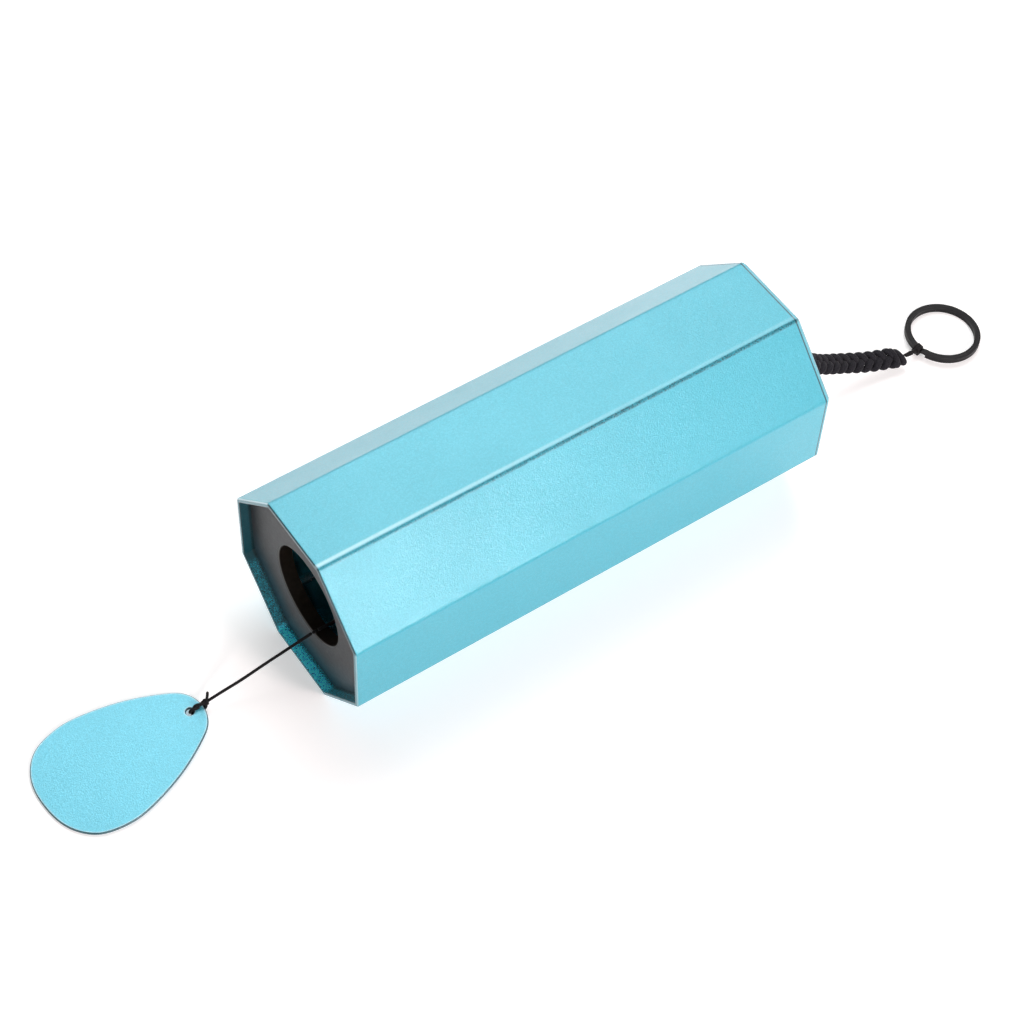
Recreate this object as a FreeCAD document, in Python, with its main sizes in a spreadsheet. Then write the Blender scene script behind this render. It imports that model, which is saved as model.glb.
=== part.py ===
import FreeCAD, Part
import math
import os

from FreeCAD import Placement, Rotation, Vector

# Wind chime: an octagonal resonator lying on one of its flats. The origin is the centre of that flat,
# +X runs from the open mouth to the lanyard end and +Z is up.

DIMENSIONS = {
    "across_flats": 62.0,
    "shell_length": 161.1,
    "shell_wall": 1.2,
    "shell_corner_round": 1.6,
    "inner_corner_round": 0.6,
    "mouth_rim_chamfer": 0.3,
    "far_rim_chamfer": 0.9,
    "seat_gap": 0.05,
    "plate_recess": 3.5,
    "plate_thickness": 4.5,
    "mouth_radius": 15.5,
    "mouth_chamfer": 0.4,
    "cap_recess": 1.0,
    "cap_thickness": 3.0,
    "cap_hole_radius": 1.7,
    "rod_radius": 1.5,
    "rod_circle_radius": 20.0,
    "rod_seat_depth": 3.0,
    "rod_tip_chamfer": 0.3,
    "rod_tuning": 2120000.0,
    "solder_radius": 2.4,
    "solder_height": 0.9,
    "cord_diameter": 0.9,
    "cord_gap": 0.15,
    "striker_radius": 11.0,
    "striker_thickness": 3.0,
    "striker_edge_round": 0.4,
    "striker_hole_radius": 0.7,
    "striker_drop": 95.85,
    "striker_rest_offset": 8.2,
    "striker_knot_radius": 1.6,
    "striker_cord_tail": 4.75,
    "sail_length": 52.1,
    "sail_half_width": 18.85,
    "sail_thickness": 1.0,
    "sail_tip_to_hole": 4.05,
    "sail_hole_radius": 1.15,
    "sail_edge_chamfer": 0.25,
    "sail_tip_rise": 1.12,
    "sail_knot_radius": 1.15,
    "lanyard_knot_radius": 4.0,
    "lanyard_knot_length": 7.0,
    "lanyard_knot_round": 2.6,
    "lanyard_bundle_diameter": 2.9,
    "braid_diameter": 5.5,
    "ring_cord_diameter": 1.2,
    "ring_outer_radius": 12.0,
    "ring_wire_width": 1.8,
    "ring_wire_height": 0.88,
    "ring_coil_rise": 0.96,
    "ring_lift": 1.45,
    "hitch_wall": 0.9,
    "hitch_flat_wall": 0.7,
    "hitch_width": 1.9,
}

# The rods sound the notes of a C major chord with an added fourth, lowest to highest, in hertz.
TONES = [196.0, 261.6, 329.6, 349.2, 392.0, 523.3, 659.3, 784.0]

SIDES = 8
SIDE_ANGLE = 360.0 / SIDES
STRIKER_REST_ANGLE = 247.5

# Sail outline: distance from the tip as a share of the length, half width as a share of the greatest one.
SAIL_OUTLINE = [
    (0.02, 0.24),
    (0.054, 0.37),
    (0.106, 0.478),
    (0.2, 0.627),
    (0.336, 0.796),
    (0.46, 0.905),
    (0.553, 0.966),
    (0.66, 1.0),
    (0.76, 0.968),
    (0.862, 0.865),
    (0.921, 0.72),
    (0.977, 0.446),
]

SAIL_HOLE = Vector(-115.4, 2.15, 0)
SAIL_HEADING = 185.0
SAIL_KNOT = Vector(-110.35, 1.85, 3.0)
KNOT_TAIL_TIP = Vector(-108.95, 3.1, 5.6)

MOUTH_SWING_PIVOT = Vector(-76.2, -2.35, 16.3)
MOUTH_LIFT_PIVOT = Vector(-77.7, -2.35, 16.3)

# Slack cord inside the tube, from below the striker to the mouth's lower edge.
DROP_CORD_SAG = [
    Vector(-39.3, -3.53, 22.4),
    Vector(-47.3, -3.4, 20.1),
    Vector(-55.3, -3.1, 18.0),
    Vector(-63.3, -2.75, 16.8),
    Vector(-70.3, -2.45, 16.35),
]
DROP_CORD_END = Vector(-75.6, -2.35, 16.3)

LANYARD_SWING_PIVOT = Vector(83.0, 0, 31)
LANYARD_LIFT_PIVOT = Vector(86.6, 0, 30.4)
NECK_END = Vector(90.0, -0.4, 27.4)
BRAID_ROUTE = [
    NECK_END,
    Vector(96.6, -1.18, 21.58),
    Vector(103.9, -1.7, 14.6),
    Vector(111.4, -1.9, 10.0),
    Vector(119.2, -2.9, 6.8),
    Vector(127.1, -5.0, 4.7),
    Vector(135.6, -7.2, 3.4),
]
RING_SWING_PIVOT = Vector(136.7, -7.2, 3.4)
RING_TILT_PIVOT = Vector(139.3, -7.0, 2.9)
RING_CENTRE = Vector(153.3, -5.5, 0)
RING_RAISED_ANGLE = 200.0
RING_START_ANGLE = 202.0
RING_RAMP_START = 184.5
RING_RAMP_END = 199.0
RING_FREE_END = 183.0
HITCH_ANGLE = 188.5
RAMP_STATIONS = 5

X_AXIS = Vector(1, 0, 0)
Y_AXIS = Vector(0, 1, 0)
Z_AXIS = Vector(0, 0, 1)

document = FreeCAD.newDocument("wind_chime")
sheet = document.addObject("Spreadsheet::Sheet", "dims")
nodes = []


def fill_sheet():
    values = dict(DIMENSIONS)
    for number, tone in enumerate(TONES, start=1):
        values[f"tone_{number}"] = tone
    for row, (alias, value) in enumerate(values.items(), start=1):
        sheet.set(f"A{row}", alias)
        sheet.set(f"B{row}", str(value))
        sheet.setAlias(f"B{row}", alias)
    document.recompute()


def dim(alias):
    return float(sheet.get(alias))


def bind(obj, **expressions):
    for name, expression in expressions.items():
        obj.setExpression(name, expression)


def keep(obj, label):
    obj.Label = label
    nodes.append(obj)
    return obj


def along_x(roll=0.0):
    """Rotation that lays a local Z axis along +X, turned about it by roll degrees."""
    return Rotation(X_AXIS, roll) * Rotation(Y_AXIS, 90)


def towards(direction):
    return Rotation(Z_AXIS, direction)


def axis_height():
    return dim("across_flats") / 2


def circumradius(half_across_flats):
    return f"({half_across_flats}) / cos(180 deg / {SIDES})"


def edge_names(shape, wanted):
    return [f"Edge{index}" for index, edge in enumerate(shape.Edges, start=1) if wanted(edge)]


def lies_flat_at(height, tolerance=0.001):
    """Chooses edges that lie wholly in the plane z = height."""
    return lambda edge: all(abs(v.Z - height) < tolerance for v in edge.Vertexes) and \
        abs(edge.CenterOfMass.z - height) < tolerance


def half_across_flats_at(point):
    """Half the across-flats size of the upright octagon that passes through the point."""
    sides = [math.radians((side + 0.5) * SIDE_ANGLE) for side in range(SIDES)]
    return max(point.x * math.cos(angle) + point.y * math.sin(angle) for angle in sides)


def runs_along_z(edge):
    ends = edge.Vertexes
    return len(ends) == 2 and abs(ends[0].Z - ends[1].Z) > 1.0


def dress(body, kind, name, property_name, expression, edges):
    """Adds a PartDesign fillet or chamfer to the body's tip."""
    base = body.Tip
    feature = body.newObject(f"PartDesign::{kind}", name)
    feature.Base = (base, edges)
    feature.setExpression(property_name, expression)
    document.recompute()


def prism(body, kind, name, half_across_flats, height):
    """An octagonal PartDesign prism standing on the body's XY plane."""
    feature = body.newObject(f"PartDesign::{kind}Prism", name)
    feature.Polygon = SIDES
    bind(feature, Circumradius=circumradius(half_across_flats), Height=height)
    document.recompute()
    return feature


def disc(body, kind, name, radius, height, position=None):
    feature = body.newObject(f"PartDesign::{kind}Cylinder", name)
    bind(feature, Radius=radius, Height=height)
    if position is not None:
        feature.Placement = Placement(position, Rotation())
    document.recompute()
    return feature


def make_shell():
    body = document.addObject("PartDesign::Body", "ShellBody")
    base = prism(body, "Additive", "ShellOutside", "dims.across_flats / 2", "dims.shell_length")
    dress(body, "Fillet", "ShellCorners", "Radius", "dims.shell_corner_round",
          edge_names(base.Shape, runs_along_z))
    solid_volume = body.Shape.Volume
    outer_edges = {round(edge.CenterOfMass.Length, 3) for edge in body.Shape.Edges if runs_along_z(edge)}
    hollow = prism(body, "Subtractive", "ShellHollow",
                   "dims.across_flats / 2 - dims.shell_wall", "dims.shell_length")
    if hollow.Shape.Volume > solid_volume / 2:
        raise ValueError("the shell was not hollowed")
    dress(body, "Fillet", "ShellInnerCorners", "Radius", "dims.inner_corner_round",
          edge_names(hollow.Shape, lambda edge: runs_along_z(edge)
                     and round(edge.CenterOfMass.Length, 3) not in outer_edges))
    middle_of_wall = (dim("across_flats") - dim("shell_wall")) / 2

    def outside_rim(height):
        at_height = lies_flat_at(height)
        return lambda edge: at_height(edge) and half_across_flats_at(edge.CenterOfMass) > middle_of_wall

    dress(body, "Chamfer", "MouthRim", "Size", "dims.mouth_rim_chamfer",
          edge_names(body.Shape, outside_rim(0)))
    dress(body, "Chamfer", "FarRim", "Size", "dims.far_rim_chamfer",
          edge_names(body.Shape, outside_rim(dim("shell_length"))))
    body.Placement = Placement(Vector(-dim("shell_length") / 2, 0, axis_height()), along_x(SIDE_ANGLE / 2))
    keep(body, "shell")


def make_base_plate():
    body = document.addObject("PartDesign::Body", "BasePlateBody")
    base = prism(body, "Additive", "BasePlateBlank",
                 "dims.across_flats / 2 - dims.shell_wall - dims.seat_gap", "dims.plate_thickness")
    dress(body, "Fillet", "BasePlateCorners", "Radius", "dims.inner_corner_round",
          edge_names(base.Shape, runs_along_z))
    disc(body, "Subtractive", "Mouth", "dims.mouth_radius", "dims.plate_thickness")
    rim = lies_flat_at(0)
    dress(body, "Chamfer", "MouthEdge", "Size", "dims.mouth_chamfer",
          edge_names(body.Shape, lambda edge: rim(edge) and edge.Curve.TypeId == "Part::GeomCircle"
                     and abs(edge.Curve.Radius - dim("mouth_radius")) < 0.01))
    body.Placement = Placement(Vector(plate_outer_x(), 0, axis_height()), along_x(SIDE_ANGLE / 2))
    solid_volume = body.Shape.Volume
    to_body = body.Placement.inverse()
    for index in range(SIDES):
        seat_floor = to_body.multVec(rod_centre(index, plate_inner_x() - dim("rod_seat_depth")))
        disc(body, "Subtractive", f"RodSeat{index + 1}", "dims.rod_radius", "dims.rod_seat_depth", seat_floor)
    seats = SIDES * math.pi * dim("rod_radius") ** 2 * dim("rod_seat_depth")
    if abs(solid_volume - body.Shape.Volume - seats) > 0.01 * seats:
        raise ValueError("the rod seats were not cut")
    keep(body, "base_plate")


def plate_outer_x():
    return -dim("shell_length") / 2 + dim("plate_recess")


def plate_inner_x():
    return plate_outer_x() + dim("plate_thickness")


def cap_inner_x():
    return dim("shell_length") / 2 - dim("cap_recess") - dim("cap_thickness")


def make_top_cap():
    body = document.addObject("PartDesign::Body", "TopCapBody")
    base = prism(body, "Additive", "TopCapBlank",
                 "dims.across_flats / 2 - dims.shell_wall - dims.seat_gap", "dims.cap_thickness")
    dress(body, "Fillet", "TopCapCorners", "Radius", "dims.inner_corner_round",
          edge_names(base.Shape, runs_along_z))
    disc(body, "Subtractive", "LanyardHole", "dims.cap_hole_radius", "dims.cap_thickness")
    body.Placement = Placement(Vector(cap_inner_x(), 0, axis_height()), along_x(SIDE_ANGLE / 2))
    keep(body, "top_cap")


def rod_centre(index, x):
    angle = math.radians(index * SIDE_ANGLE)
    reach = dim("rod_circle_radius")
    return Vector(x, reach * math.cos(angle), axis_height() + reach * math.sin(angle))


def make_tone_rod(index):
    body = document.addObject("PartDesign::Body", f"ToneRodBody{index + 1}")
    free_length = f"sqrt(dims.rod_tuning / dims.tone_{index + 1})"
    disc(body, "Additive", f"ToneRodBar{index + 1}", "dims.rod_radius", f"{free_length} + dims.rod_seat_depth")
    top = max(vertex.Z for vertex in body.Shape.Vertexes)
    dress(body, "Chamfer", f"ToneRodTip{index + 1}", "Size", "dims.rod_tip_chamfer",
          edge_names(body.Shape, lies_flat_at(top)))
    body.Placement = Placement(rod_centre(index, plate_inner_x() - dim("rod_seat_depth")), along_x())
    keep(body, f"tone_rod_{index + 1}")


def make_solder():
    rings = []
    for index in range(SIDES):
        cone = document.addObject("Part::Cone", f"SolderCone{index + 1}")
        bind(cone, Radius1="dims.solder_radius", Radius2="dims.rod_radius + 0.1", Height="dims.solder_height")
        bar = document.addObject("Part::Cylinder", f"SolderBore{index + 1}")
        bind(bar, Radius="dims.rod_radius", Height="dims.solder_height")
        place = Placement(rod_centre(index, plate_inner_x()), along_x())
        cone.Placement = place
        bar.Placement = place
        ring = document.addObject("Part::Cut", f"SolderRing{index + 1}")
        ring.Base = cone
        ring.Tool = bar
        rings.append(ring)
    group = document.addObject("Part::Compound", "SolderRings")
    group.Links = rings
    keep(group, "solder_fillets")


def route_edges(points, bend_radius=None):
    """Straight runs joined by tangent arcs. Each arc takes 0.45 of its shorter run unless a radius is given."""
    edges = []
    radii = []
    start = points[0]
    for before, corner, after in zip(points, points[1:], points[2:]):
        arrive = (corner - before).normalize()
        leave = (after - corner).normalize()
        half_turn = arrive.getAngle(leave) / 2
        shorter = min((corner - before).Length, (after - corner).Length)
        radius = bend_radius or 0.45 * shorter / math.tan(half_turn)
        reach = radius * math.tan(half_turn)
        first = corner - arrive * reach
        last = corner + leave * reach
        inward = (leave - arrive).normalize()
        middle = corner + inward * (radius / math.cos(half_turn) - radius)
        edges.append(Part.LineSegment(start, first).toShape())
        edges.append(Part.Arc(first, middle, last).toShape())
        radii.append(radius)
        start = last
    edges.append(Part.LineSegment(start, points[-1]).toShape())
    return edges, radii


def tube_shape(points, diameter, label, bend_radius=None):
    edges, radii = route_edges(points, bend_radius)
    wire = Part.Wire(edges)
    circle = Part.Circle(points[0], points[1] - points[0], diameter / 2).toShape()
    tube = wire.makePipeShell([Part.Wire([circle])], True, True)
    expected = math.pi * diameter ** 2 / 4 * wire.Length
    if abs(tube.Volume - expected) > 0.01 * expected:
        raise ValueError(f"{label}: the tube's volume is off")
    print(label, "length", round(wire.Length, 2), "radii", [round(radius, 1) for radius in radii])
    return tube


def keep_shape(shape, name, label):
    feature = document.addObject("Part::Feature", name)
    feature.Shape = shape
    return keep(feature, label)


def with_ball(tube, centre, radius):
    """Rounds the tube's end about its pivot, so the cord can turn there."""
    return tube.fuse(Part.makeSphere(radius, centre)).removeSplitter()


def straight_cord(start, end, diameter, label):
    tube = tube_shape([start, end], diameter, label)
    return with_ball(tube, start, diameter / 2)


def short_of(start, end, distance):
    return end - (end - start).normalize() * distance


def striker_pivot():
    return Vector(cap_inner_x() - dim("lanyard_knot_length") - 0.75, 0, axis_height())


def striker_direction():
    """From the pivot to the disc's centre: the disc lies between two of the lower rods."""
    angle = math.radians(STRIKER_REST_ANGLE)
    offset = dim("striker_rest_offset")
    side = Vector(0, offset * math.cos(angle), offset * math.sin(angle))
    along = -math.sqrt(dim("striker_drop") ** 2 - offset ** 2)
    return (side + Vector(along, 0, 0)).normalize()


def on_striker_cord(distance):
    return striker_pivot() + striker_direction() * distance


def make_striker_disc():
    body = document.addObject("PartDesign::Body", "StrikerBody")
    disc(body, "Additive", "StrikerBlank", "dims.striker_radius", "dims.striker_thickness")
    dress(body, "Fillet", "StrikerEdge", "Radius", "dims.striker_edge_round",
          edge_names(body.Shape, lambda edge: not runs_along_z(edge)))
    disc(body, "Subtractive", "StrikerHole", "dims.striker_hole_radius", "dims.striker_thickness")
    start = dim("striker_drop") - dim("striker_thickness") / 2
    body.Placement = Placement(on_striker_cord(start), towards(striker_direction()))
    keep(body, "striker_disc")


def make_striker_knot(name, label, distance):
    ball = document.addObject("Part::Sphere", f"{name}Ball")
    bind(ball, Radius="dims.striker_knot_radius")
    bore = document.addObject("Part::Cylinder", f"{name}Bore")
    bind(bore, Radius="dims.cord_diameter / 2", Height="dims.striker_knot_radius * 4")
    ball.Placement = Placement(on_striker_cord(distance), towards(striker_direction()))
    bore.Placement = Placement(on_striker_cord(distance - 2 * dim("striker_knot_radius")),
                               towards(striker_direction()))
    knot = document.addObject("Part::Cut", name)
    knot.Base = ball
    knot.Tool = bore
    keep(knot, label)


def make_striker():
    diameter = dim("cord_diameter")
    cord_end = on_striker_cord(dim("striker_drop") + dim("striker_cord_tail"))
    keep_shape(straight_cord(striker_pivot(), cord_end, diameter, "striker_cord"),
               "StrikerCord", "striker_cord")
    make_striker_disc()
    reach = dim("striker_thickness") / 2 + dim("striker_knot_radius")
    make_striker_knot("StrikerUpperKnot", "striker_upper_knot", dim("striker_drop") - reach)
    make_striker_knot("StrikerLowerKnot", "striker_lower_knot", dim("striker_drop") + reach)
    route = [cord_end] + DROP_CORD_SAG + [DROP_CORD_END]
    keep_shape(tube_shape(route, diameter, "striker_drop_cord"), "StrikerDropCord", "striker_drop_cord")


def make_sail_cord():
    diameter = dim("cord_diameter")
    gap = diameter / 2 + dim("cord_gap")
    bend_end = short_of(MOUTH_SWING_PIVOT, MOUTH_LIFT_PIVOT, gap)
    keep_shape(straight_cord(MOUTH_SWING_PIVOT, bend_end, diameter, "sail_cord_bend"),
               "SailCordBend", "sail_cord_bend")
    cord_end = short_of(MOUTH_LIFT_PIVOT, SAIL_KNOT, dim("sail_knot_radius") + 2 * dim("cord_gap"))
    keep_shape(straight_cord(MOUTH_LIFT_PIVOT, cord_end, diameter, "sail_cord"), "SailCord", "sail_cord")


def make_sail_knot():
    ball = document.addObject("Part::Sphere", "SailKnotBall")
    bind(ball, Radius="dims.sail_knot_radius")
    ball.Placement = Placement(SAIL_KNOT, Rotation())
    tail = document.addObject("Part::Cylinder", "SailKnotTail")
    bind(tail, Radius="dims.cord_diameter * 0.45")
    tail.Height = (KNOT_TAIL_TIP - SAIL_KNOT).Length
    tail.Placement = Placement(SAIL_KNOT, towards(KNOT_TAIL_TIP - SAIL_KNOT))
    knot = document.addObject("Part::Fuse", "SailKnot")
    knot.Base = ball
    knot.Tool = tail
    keep(knot, "sail_knot")


def sail_placement():
    """Local +X runs from the hole to the wide end. The tip is propped up on the cord that passes under it."""
    slope = math.degrees(math.asin(dim("sail_tip_rise") / dim("sail_length")))
    wide_end = dim("sail_length") - dim("sail_tip_to_hole")
    base = Vector(SAIL_HOLE.x, SAIL_HOLE.y, wide_end * math.sin(math.radians(slope)))
    return Placement(base, Rotation(Z_AXIS, SAIL_HEADING) * Rotation(Y_AXIS, slope))


def sail_outline():
    length = dim("sail_length")
    tip = -dim("sail_tip_to_hole")
    near = [Vector(tip + share * length, width * dim("sail_half_width"), 0) for share, width in SAIL_OUTLINE]
    far = [Vector(point.x, -point.y, 0) for point in reversed(near)]
    points = [Vector(tip, 0, 0)] + near + [Vector(tip + length, 0, 0)] + far
    curve = Part.BSplineCurve()
    curve.interpolate(Points=points, PeriodicFlag=True)
    return curve


def make_sail():
    body = document.addObject("PartDesign::Body", "SailBody")
    plane = next(item for item in body.Origin.OriginFeatures if item.Role == "XY_Plane")
    sketch = body.newObject("Sketcher::SketchObject", "SailSketch")
    sketch.AttachmentSupport = [(plane, "")]
    sketch.MapMode = "FlatFace"
    sketch.addGeometry(sail_outline(), False)
    sketch.addGeometry(Part.Circle(Vector(0, 0, 0), Z_AXIS, dim("sail_hole_radius")), False)
    document.recompute()
    pad = body.newObject("PartDesign::Pad", "SailSheet")
    pad.Profile = sketch
    bind(pad, Length="dims.sail_thickness")
    document.recompute()
    on_bottom = lies_flat_at(0)
    on_top = lies_flat_at(dim("sail_thickness"))
    dress(body, "Chamfer", "SailEdges", "Size", "dims.sail_edge_chamfer",
          edge_names(body.Shape, lambda edge: on_bottom(edge) or on_top(edge)))
    body.Placement = sail_placement()
    keep(body, "sail")


def make_sail_loop():
    """Cord loop: down through the sail's hole, back under its tip and up to the knot."""
    diameter = dim("cord_diameter")
    frame = sail_placement()
    knot = frame.inverse().multVec(SAIL_KNOT)
    turn = math.degrees(math.atan2(-knot.y, -knot.x))
    frame = frame * Placement(Vector(), Rotation(Z_AXIS, turn))
    knot = frame.inverse().multVec(SAIL_KNOT)
    clear = diameter / 2 + 0.02
    top = dim("sail_thickness") + clear
    in_hole = -0.55
    past_tip = -dim("sail_tip_to_hole") - 0.55
    stand_off = dim("sail_knot_radius") + dim("cord_gap")
    start = knot + (Vector(in_hole, 0, top) - knot).normalize() * stand_off
    corner = Vector(past_tip, 0, -clear)
    end = knot + (corner - knot).normalize() * stand_off
    points = [start, Vector(in_hole, 0, top), Vector(in_hole, 0, -clear), corner, end]
    loop = tube_shape([frame.multVec(point) for point in points], diameter, "sail_loop", bend_radius=0.8)
    keep_shape(loop, "SailLoop", "sail_loop")


def make_lanyard_root():
    knot = document.addObject("PartDesign::Body", "LanyardKnotBody")
    disc(knot, "Additive", "LanyardKnotBlank", "dims.lanyard_knot_radius", "dims.lanyard_knot_length")
    dress(knot, "Fillet", "LanyardKnotRound", "Radius", "dims.lanyard_knot_round",
          edge_names(knot.Shape, lambda edge: not runs_along_z(edge)))
    start = cap_inner_x() - dim("lanyard_knot_length")
    knot.Placement = Placement(Vector(start, 0, axis_height()), along_x())
    keep(knot, "lanyard_knot")
    stem = document.addObject("Part::Cylinder", "LanyardStem")
    bind(stem, Radius="dims.lanyard_bundle_diameter / 2")
    stem_end = LANYARD_SWING_PIVOT.x - dim("lanyard_bundle_diameter") / 2 - dim("cord_gap")
    stem.Height = stem_end - cap_inner_x()
    stem.Placement = Placement(Vector(cap_inner_x(), 0, axis_height()), along_x())
    keep(stem, "lanyard_stem")


def make_lanyard():
    bundle = dim("lanyard_bundle_diameter")
    bend_end = short_of(LANYARD_SWING_PIVOT, LANYARD_LIFT_PIVOT, bundle / 2 + dim("cord_gap"))
    keep_shape(straight_cord(LANYARD_SWING_PIVOT, bend_end, bundle, "lanyard_bend"),
               "LanyardBend", "lanyard_bend")
    keep_shape(straight_cord(LANYARD_LIFT_PIVOT, NECK_END, bundle, "lanyard_neck"),
               "LanyardNeck", "lanyard_neck")
    keep_shape(tube_shape(BRAID_ROUTE, dim("braid_diameter"), "lanyard_braid"), "LanyardBraid", "lanyard_braid")
    diameter = dim("ring_cord_diameter")
    cord_end = short_of(RING_SWING_PIVOT, RING_TILT_PIVOT, diameter / 2 + dim("cord_gap"))
    keep_shape(straight_cord(RING_SWING_PIVOT, cord_end, diameter, "ring_cord"), "RingCord", "ring_cord")


def ring_placement():
    """The ring lies on its far edge and is propped up by the hitch under its wire."""
    raised = math.radians(RING_RAISED_ANGLE)
    tilt_axis = Vector(-math.sin(raised), math.cos(raised), 0)
    tilt = math.asin(dim("ring_lift") / (2 * dim("ring_outer_radius")))
    base = RING_CENTRE + Vector(0, 0, dim("ring_lift") / 2)
    return Placement(base, Rotation(tilt_axis, -math.degrees(tilt)))


def wire_section(angle, height):
    """The flat wire's section, standing on the radius at an angle in degrees."""
    outer = dim("ring_outer_radius")
    inner = outer - dim("ring_wire_width")
    top = height + dim("ring_wire_height")
    corners = [(inner, height), (outer, height), (outer, top), (inner, top), (inner, height)]
    turn = Rotation(Z_AXIS, angle)
    return Part.makePolygon([turn.multVec(Vector(radius, 0, level)) for radius, level in corners])


def ramp_height_at(angle):
    """How far the crossing wire has climbed from the lower coil to the upper one."""
    share = (angle - RING_RAMP_START) / (RING_RAMP_END - RING_RAMP_START)
    share = min(max(share, 0), 1)
    return dim("ring_coil_rise") * share * share * (3 - 2 * share)


def make_split_ring():
    lower = Part.Face(wire_section(RING_START_ANGLE, 0))
    lower = lower.revolve(Vector(), Z_AXIS, 360 + RING_RAMP_START - RING_START_ANGLE)
    upper = Part.Face(wire_section(RING_RAMP_END, dim("ring_coil_rise")))
    upper = upper.revolve(Vector(), Z_AXIS, 360 + RING_FREE_END - RING_RAMP_END)
    sections = []
    for station in range(RAMP_STATIONS):
        angle = RING_RAMP_START + station * (RING_RAMP_END - RING_RAMP_START) / (RAMP_STATIONS - 1)
        sections.append(wire_section(angle, ramp_height_at(angle)))
    ramp = Part.makeLoft(sections, True, True)
    ring = lower.fuse([ramp, upper])
    ring.Placement = ring_placement()
    keep_shape(ring, "SplitRing", "split_ring")


def make_ring_hitch():
    """A sleeve of cord round the ring's wire, joined to the end of the lanyard by a short run."""
    wall = dim("hitch_wall")
    gap = 0.05
    wire_width = dim("ring_wire_width")
    width = dim("hitch_width")
    middle = dim("ring_outer_radius") - wire_width / 2
    half_angle = math.degrees(width / 2 / middle)
    low = ramp_height_at(HITCH_ANGLE - half_angle) - gap
    high = ramp_height_at(HITCH_ANGLE + half_angle) + dim("ring_wire_height") + gap
    flat_wall = dim("hitch_flat_wall")
    sleeve = Part.makeBox(wire_width + 2 * (wall + gap), width, high - low + 2 * flat_wall)
    sleeve.translate(Vector(middle - wire_width / 2 - wall - gap, -width / 2, low - flat_wall))
    long_edges = [edge for edge in sleeve.Edges if abs(edge.Vertexes[0].Y - edge.Vertexes[1].Y) > 1]
    sleeve = sleeve.makeFillet(0.4, long_edges)
    window = Part.makeBox(wire_width + 2 * gap, width * 2, high - low)
    window.translate(Vector(middle - wire_width / 2 - gap, -width, low))
    sleeve = sleeve.cut(window)
    place = ring_placement() * Placement(Vector(), Rotation(Z_AXIS, HITCH_ANGLE))
    sleeve.Placement = place
    outside = place.multVec(Vector(dim("ring_outer_radius") + gap + wall / 2, 0, (low + high) / 2))
    stalk = straight_cord(RING_TILT_PIVOT, outside, dim("ring_cord_diameter"), "ring_hitch")
    keep_shape(sleeve.fuse(stalk).removeSplitter(), "RingHitch", "ring_hitch")


def check_and_export():
    document.recompute()
    for obj in document.Objects:
        if {"Invalid", "Error"} & set(obj.State):
            raise ValueError(f"{obj.Name} failed to compute")
    for node in nodes:
        shape = node.Shape
        if shape.isNull() or not shape.isValid() or not shape.Solids:
            raise ValueError(f"{node.Label} has no valid solid")
    os.makedirs("parts", exist_ok=True)
    for node in nodes:
        node.Shape.exportStep(f"parts/{node.Label}.step")
        box = node.Shape.BoundBox
        print(f"{node.Label:20s} {len(node.Shape.Solids)} solid(s) {node.Shape.Volume:10.2f} mm3",
              f"x {box.XMin:8.2f} {box.XMax:8.2f}",
              f"y {box.YMin:7.2f} {box.YMax:7.2f}",
              f"z {box.ZMin:6.2f} {box.ZMax:6.2f}")


fill_sheet()
make_shell()
make_base_plate()
make_top_cap()
for rod in range(SIDES):
    make_tone_rod(rod)
make_solder()
make_striker()
make_sail_cord()
make_sail_knot()
make_sail()
make_sail_loop()
make_lanyard_root()
make_lanyard()
make_split_ring()
make_ring_hitch()
check_and_export()
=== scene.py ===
import math

import bpy
import numpy as np
from mathutils import Matrix, Vector


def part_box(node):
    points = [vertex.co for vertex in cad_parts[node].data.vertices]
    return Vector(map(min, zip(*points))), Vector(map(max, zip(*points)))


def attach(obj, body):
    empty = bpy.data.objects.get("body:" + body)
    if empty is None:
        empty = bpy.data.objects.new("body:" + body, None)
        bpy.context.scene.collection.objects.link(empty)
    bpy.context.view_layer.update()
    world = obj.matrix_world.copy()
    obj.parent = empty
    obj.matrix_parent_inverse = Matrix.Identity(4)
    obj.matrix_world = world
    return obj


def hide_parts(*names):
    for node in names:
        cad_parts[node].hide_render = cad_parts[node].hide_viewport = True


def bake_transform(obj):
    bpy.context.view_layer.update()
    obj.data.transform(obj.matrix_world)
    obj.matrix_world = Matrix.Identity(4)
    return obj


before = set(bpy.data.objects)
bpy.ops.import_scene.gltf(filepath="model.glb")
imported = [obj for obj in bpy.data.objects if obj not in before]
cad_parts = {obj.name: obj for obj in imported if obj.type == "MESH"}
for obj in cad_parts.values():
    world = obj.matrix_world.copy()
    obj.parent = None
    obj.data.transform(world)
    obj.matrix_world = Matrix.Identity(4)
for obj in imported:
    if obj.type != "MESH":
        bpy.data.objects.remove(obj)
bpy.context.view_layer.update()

# Everything is in the model's own frame: X runs from the open mouth to the lanyard and Z is up. Most sizes here
# are in mm, and mm() and MM turn them into Blender's metres. The lights' places and sizes, the floor's reach and
# the radii and depths of the materials' bevels and bumps are in metres.
MM = 0.001
CENTRE_HEIGHT = 31.0
HALF_ACROSS_FLATS = 31.0
HALF_FLAT = HALF_ACROSS_FLATS * math.tan(math.pi / 8)
PLATE_HOLE = 15.5


def mm(*numbers):
    return Vector(numbers) * MM


def route(*points):
    return [mm(*point) for point in points]


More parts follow.
